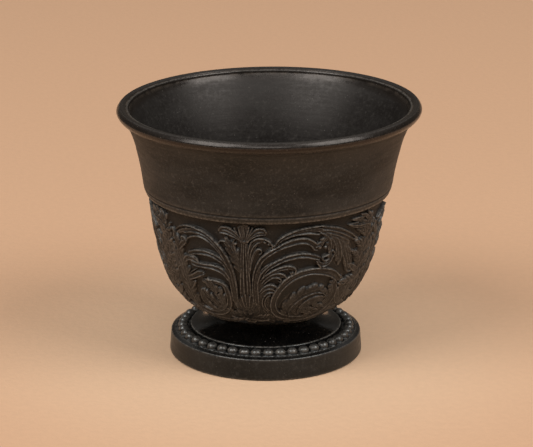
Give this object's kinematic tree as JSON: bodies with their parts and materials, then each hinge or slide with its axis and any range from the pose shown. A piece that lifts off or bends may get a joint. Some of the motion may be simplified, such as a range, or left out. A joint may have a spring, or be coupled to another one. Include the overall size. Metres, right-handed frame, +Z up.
{
  "type": "footed drinking cup",
  "caption": "Footed cup of dry-bodied black stoneware with a flared collar, moulded classical foliage round the bowl and a bead border on the foot.",
  "frame": {"origin": "centre of the foot's resting ring, on the surface that the cup stands on", "axes": "+Z is up along the cup's axis of turning, -Y is the front seen in the picture, +X is to the right of it"},
  "size_m": [0.1, 0.1, 0.0852],
  "materials": {
    "stoneware_body": "satin",
    "stoneware_foot": "satin",
    "stoneware_border": "satin",
    "stoneware_relief": "matte"
  },
  "bodies": {
    "root": {"cup_body": "stoneware_body", "foot": "stoneware_foot", "bead_border": "stoneware_border", "palmette_1": "stoneware_relief", "palmette_2": "stoneware_relief", "palmette_3": "stoneware_relief", "spray_right_1": "stoneware_relief", "spray_right_2": "stoneware_relief", "spray_right_3": "stoneware_relief", "scroll_right_1": "stoneware_relief", "scroll_right_2": "stoneware_relief", "scroll_right_3": "stoneware_relief", "cascade_1": "stoneware_relief", "cascade_2": "stoneware_relief", "cascade_3": "stoneware_relief", "plume_1": "stoneware_relief", "plume_2": "stoneware_relief", "plume_3": "stoneware_relief", "spray_left_1": "stoneware_relief", "spray_left_2": "stoneware_relief", "spray_left_3": "stoneware_relief", "scroll_left_1": "stoneware_relief", "scroll_left_2": "stoneware_relief", "scroll_left_3": "stoneware_relief"}
  },
  "joints": []
}
